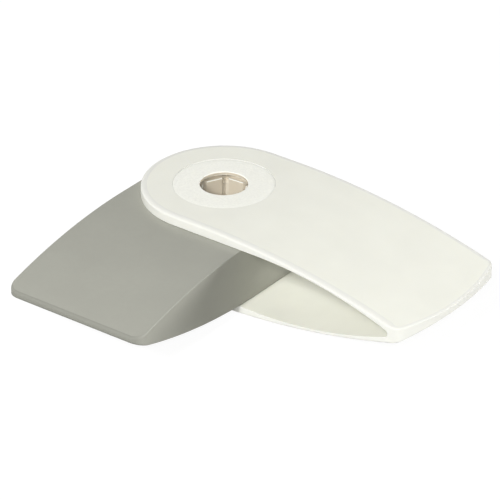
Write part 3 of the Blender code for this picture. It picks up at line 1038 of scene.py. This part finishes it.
def eraser_rubber(finish):
    """Matte grey rubber: soft clouds, a fine powdery mottle, and painted shade that darkens the tip."""
    s = Shading(bpy.data.materials.new("eraser_rubber"))
    clouds = s.noise(RUBBER_CLOUDS)
    mottle = s.noise(RUBBER_MOTTLE, detail=4.0, roughness=0.6)
    powder = s.noise(RUBBER_POWDER, roughness=0.7)
    soft = s.vary(clouds, finish.rubber, RUBBER_TINTS)
    darker = tinted(finish.rubber, MOTTLE_TINT)
    body = s.mix_colours(s.spread(mottle, 0.0, MOTTLE_SHARE), soft, darker)
    height = s.calculate("ADD", s.calculate("MULTIPLY", mottle, MOTTLE_HEIGHT), powder)
    s.surface(
        # Painted shade: where marked, at the tip, the rubber is darker
        Base_Color=s.mix_colours(s.mark(), body, tinted(finish.rubber, TIP_SHADE_TINT)),
        Roughness=s.around(powder, finish.rubber_roughness, RUBBER_ROUGHNESS_REACH),
        Normal=s.bump(height, RUBBER_BUMP, RUBBER_BUMP_STRENGTH),
        IOR=RUBBER_IOR,
    )
    return s.owner


def floor_paper(studio):
    """Pale floor: plain diffuse to the object, and white with part of its shadow to the camera."""
    s = Shading(bpy.data.materials.new("floor_paper"))
    s.tree.nodes.remove(s.tree.nodes["Principled BSDF"])
    plain = s.node("ShaderNodeBsdfDiffuse", Color=list(studio.floor)).outputs[0]
    shade = s.node("ShaderNodeBsdfDiffuse", Color=(*[studio.floor_shade] * 3, 1.0)).outputs[0]
    glow = s.node("ShaderNodeEmission", Strength=FLOOR_WHITE - studio.floor_shade).outputs[0]
    white = s.tree.nodes.new("ShaderNodeAddShader")
    s.put(white.inputs[0], shade)
    s.put(white.inputs[1], glow)
    look = s.tree.nodes.new("ShaderNodeMixShader")
    s.put(look.inputs[0], s.seen_directly())
    s.put(look.inputs[1], plain)
    s.put(look.inputs[2], white.outputs[0])
    s.put(s.tree.nodes["Material Output"].inputs["Surface"], look.outputs[0])
    return s.owner


def light_world(studio):
    """Even light from all round, and white where the camera sees past the floor."""
    s = Shading(bpy.data.worlds.new("studio"))
    strength = s.spread(s.seen_directly(), studio.ambient, 1.0, WHOLE_SPAN)
    s.fill(s.tree.nodes["Background"], Color=WHITE, Strength=strength)
    bpy.context.scene.world = s.owner


def add_lamp(name, watts, size, place, distance):
    """A rectangular soft lamp that faces the pivot from its place's azimuth and elevation."""
    azimuth, elevation = np.radians(place)
    data = bpy.data.lights.new(name, "AREA")
    data.energy = watts
    data.shape = "RECTANGLE"
    data.size, data.size_y = size
    lamp = bpy.data.objects.new(name, data)
    lamp.rotation_euler = (QUARTER - elevation, 0.0, azimuth)
    lamp.location = Vector(PIVOT) + lamp.rotation_euler.to_matrix() @ Vector((0.0, 0.0, distance))
    bpy.context.scene.collection.objects.link(lamp)


def add_camera(studio):
    """The camera on its axis through the aim, which lies right of and below the pivot's top."""
    data = bpy.data.cameras.new("camera")
    data.sensor_width = SENSOR_WIDTH
    data.lens = studio.lens
    camera = bpy.data.objects.new("camera", data)
    camera.rotation_euler = Euler((QUARTER - studio.elevation, 0.0, studio.azimuth))
    pivot_top = Vector(PIVOT) + Vector((0.0, 0.0, UPPER_CAP_HIGH[2]))
    offset = Vector((studio.aim_right, -studio.aim_down, studio.distance))
    camera.location = pivot_top + camera.rotation_euler.to_matrix() @ offset
    bpy.context.scene.collection.objects.link(camera)
    bpy.context.scene.camera = camera


class SWIVEL_ERASER_OT_sleeve(Operator):
    """Build the folded sleeve with its flange seats and its cavity"""

    bl_idname = "swivel_eraser.sleeve"
    bl_label = "Sleeve"

    def execute(self, context):
        settings = context.scene.swivel_eraser
        grids = sleeve_surface(settings.sleeve, settings.block, settings.cap, settings.gap)
        white = sleeve_plastic(settings.finish)
        new_piece("folded_sleeve", grids, white, SLEEVE_BODY, "sleeve")
        return {"FINISHED"}


class SWIVEL_ERASER_OT_block(Operator):
    """Build the rubber block, swung out square to the sleeve"""

    bl_idname = "swivel_eraser.block"
    bl_label = "Rubber block"

    def execute(self, context):
        settings = context.scene.swivel_eraser
        grids = block_surface(settings.block, settings.cap, settings.gap)
        swung = [(swung_out(grid), mark) for grid, mark in grids]
        rubber = eraser_rubber(settings.finish)
        new_piece("rubber_block", swung, rubber, ERASER_BODY, "eraser_block")
        return {"FINISHED"}


class SWIVEL_ERASER_OT_caps(Operator):
    """Build the two caps that snap together through the pivot"""

    bl_idname = "swivel_eraser.caps"
    bl_label = "Snap caps"

    def execute(self, context):
        settings = context.scene.swivel_eraser
        white = cap_plastic(settings.finish)
        upper = upper_cap_surface(settings.cap, settings.gap)
        lower = lower_cap_surface(settings.cap, settings.gap)
        new_piece("eyed_cap", upper, white, SLEEVE_BODY, "upper_snap_cap")
        new_piece("fingered_cap", lower, white, SLEEVE_BODY, "lower_snap_cap")
        return {"FINISHED"}


class SWIVEL_ERASER_OT_stage(Operator):
    """Set up the floor, the lamps and the camera"""

    bl_idname = "swivel_eraser.stage"
    bl_label = "Stage"

    def execute(self, context):
        studio = context.scene.swivel_eraser.studio
        reach = (even(1) - 0.5) * studio.floor_size
        corners = np.stack((*np.meshgrid(reach, reach), np.full((2, 2), -studio.floor_drop)), axis=-1)
        mesh = bpy.data.meshes.new("floor")
        mesh.from_pydata(corners.reshape(-1, 3), [], grid_quads((2, 2), 0).reshape(-1, 4).tolist())
        mesh.materials.append(floor_paper(studio))
        floor = bpy.data.objects.new("floor", mesh)
        context.scene.collection.objects.link(floor)
        light_world(studio)
        for name, place in LAMP_PLACES.items():
            watts = getattr(studio, name)
            size = getattr(studio, f"{name}_size")
            add_lamp(f"{name}_lamp", watts, size, place, studio.lamp_distance)
        add_camera(studio)
        context.scene.view_settings.view_transform = "Standard"
        return {"FINISHED"}


class SWIVEL_ERASER_PT_panel(Panel):
    """Lists the build steps and their settings"""

    bl_idname = "SWIVEL_ERASER_PT_panel"
    bl_label = "Swivel Sleeve Eraser"
    bl_space_type = "VIEW_3D"
    bl_region_type = "UI"
    bl_category = "Eraser"

    def draw(self, context):
        for operator in OPERATORS:
            self.layout.operator(operator.bl_idname)
        settings = context.scene.swivel_eraser
        for name in SwivelEraserSettings.__annotations__:
            group = getattr(settings, name)
            box = self.layout.box()
            box.label(text=group.bl_rna.description)
            for value in group.__annotations__:
                box.prop(group, value)


OPERATORS = (
    SWIVEL_ERASER_OT_sleeve,
    SWIVEL_ERASER_OT_block,
    SWIVEL_ERASER_OT_caps,
    SWIVEL_ERASER_OT_stage,
)
GROUPS = (BlockSizes, SleeveSizes, CapSizes, Clearances, Finishes, Studio, SwivelEraserSettings)
CLASSES = (*GROUPS, *OPERATORS, SWIVEL_ERASER_PT_panel)


def register():
    for cls in CLASSES:
        bpy.utils.register_class(cls)
    bpy.types.Scene.swivel_eraser = PointerProperty(type=SwivelEraserSettings)


def unregister():
    del bpy.types.Scene.swivel_eraser
    for cls in reversed(CLASSES):
        bpy.utils.unregister_class(cls)


def main():
    register()
    bpy.ops.swivel_eraser.sleeve()
    bpy.ops.swivel_eraser.block()
    bpy.ops.swivel_eraser.caps()
    bpy.ops.swivel_eraser.stage()


if __name__ == "__main__":
    main()
